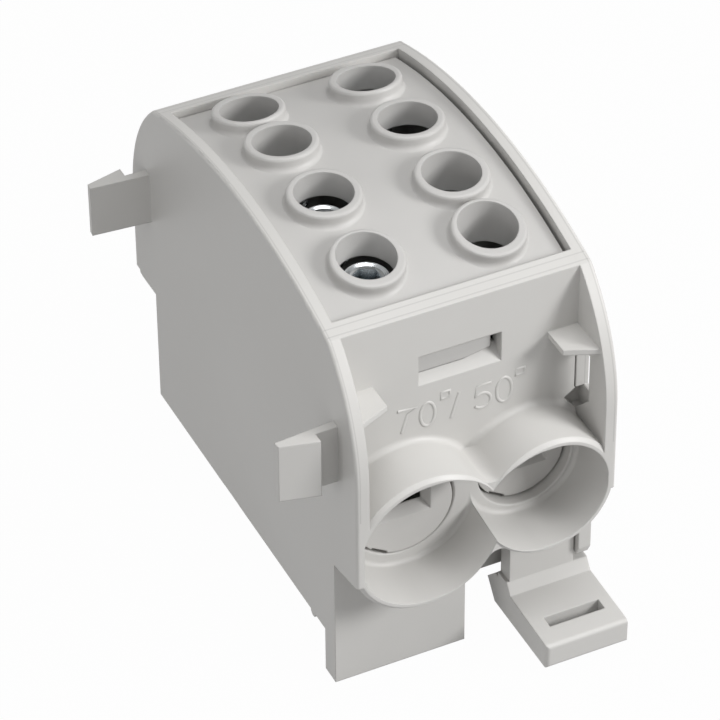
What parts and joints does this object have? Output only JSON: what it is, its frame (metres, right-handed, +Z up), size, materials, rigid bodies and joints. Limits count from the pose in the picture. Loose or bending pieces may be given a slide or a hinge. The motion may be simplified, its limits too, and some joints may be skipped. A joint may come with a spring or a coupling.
{
  "type": "power distribution block",
  "caption": "Rail-mounted moulded terminal block with hooded conductor entries, collared screw holes in a curved cover, snap arms for a neighbour and a sprung rail latch.",
  "frame": {"origin": "middle of the seat on the rail, on the underside of the housing", "axes": "+Z up out of the rail, through the cover; X along the rail; -Y towards the latch and the marked entries"},
  "size_m": [0.0552, 0.0914, 0.0747],
  "materials": {
    "housing_plastic": "satin moulded polyamide",
    "guide_plastic": "satin moulded polyamide",
    "contact_metal": "dull plated, satin",
    "screw_steel": "zinc plated"
  },
  "bodies": {
    "base": {"housing": "housing_plastic", "cover": "housing_plastic", "contact_block": "contact_metal", "guide_front_wide": "guide_plastic", "guide_front_narrow": "guide_plastic", "guide_rear_wide": "guide_plastic", "guide_rear_narrow": "guide_plastic"},
    "screw_1": {"clamp_screw_1": "screw_steel"},
    "screw_2": {"clamp_screw_2": "screw_steel"},
    "screw_3": {"clamp_screw_3": "screw_steel"},
    "screw_4": {"clamp_screw_4": "screw_steel"},
    "screw_5": {"clamp_screw_5": "screw_steel"},
    "screw_6": {"clamp_screw_6": "screw_steel"},
    "screw_7": {"clamp_screw_7": "screw_steel"},
    "screw_8": {"clamp_screw_8": "screw_steel"},
    "latch": {"rail_latch": "housing_plastic"}
  },
  "joints": [
    {"name": "screw_1_travel", "type": "slide", "parent": "base", "child": "screw_1", "axis": [0, 0, -1], "range_m": [0, 0.013]},
    {"name": "screw_2_travel", "type": "slide", "parent": "base", "child": "screw_2", "axis": [0, 0, -1], "range_m": [0, 0.013]},
    {"name": "screw_3_travel", "type": "slide", "parent": "base", "child": "screw_3", "axis": [0, 0, -1], "range_m": [0, 0.0105]},
    {"name": "screw_4_travel", "type": "slide", "parent": "base", "child": "screw_4", "axis": [0, 0, -1], "range_m": [0, 0.0105]},
    {"name": "screw_5_travel", "type": "slide", "parent": "base", "child": "screw_5", "axis": [0, 0, -1], "range_m": [0, 0.0105]},
    {"name": "screw_6_travel", "type": "slide", "parent": "base", "child": "screw_6", "axis": [0, 0, -1], "range_m": [0, 0.0105]},
    {"name": "screw_7_travel", "type": "slide", "parent": "base", "child": "screw_7", "axis": [0, 0, -1], "range_m": [0, 0.013]},
    {"name": "screw_8_travel", "type": "slide", "parent": "base", "child": "screw_8", "axis": [0, 0, -1], "range_m": [0, 0.013]},
    {"name": "latch_release", "type": "hinge", "parent": "base", "child": "latch", "pos_m": [0.014, -0.02025, 0.0094], "axis": [-1, 0, 0], "range_deg": [0, 10], "stiffness_Nm_per_rad": 0.9}
  ]
}
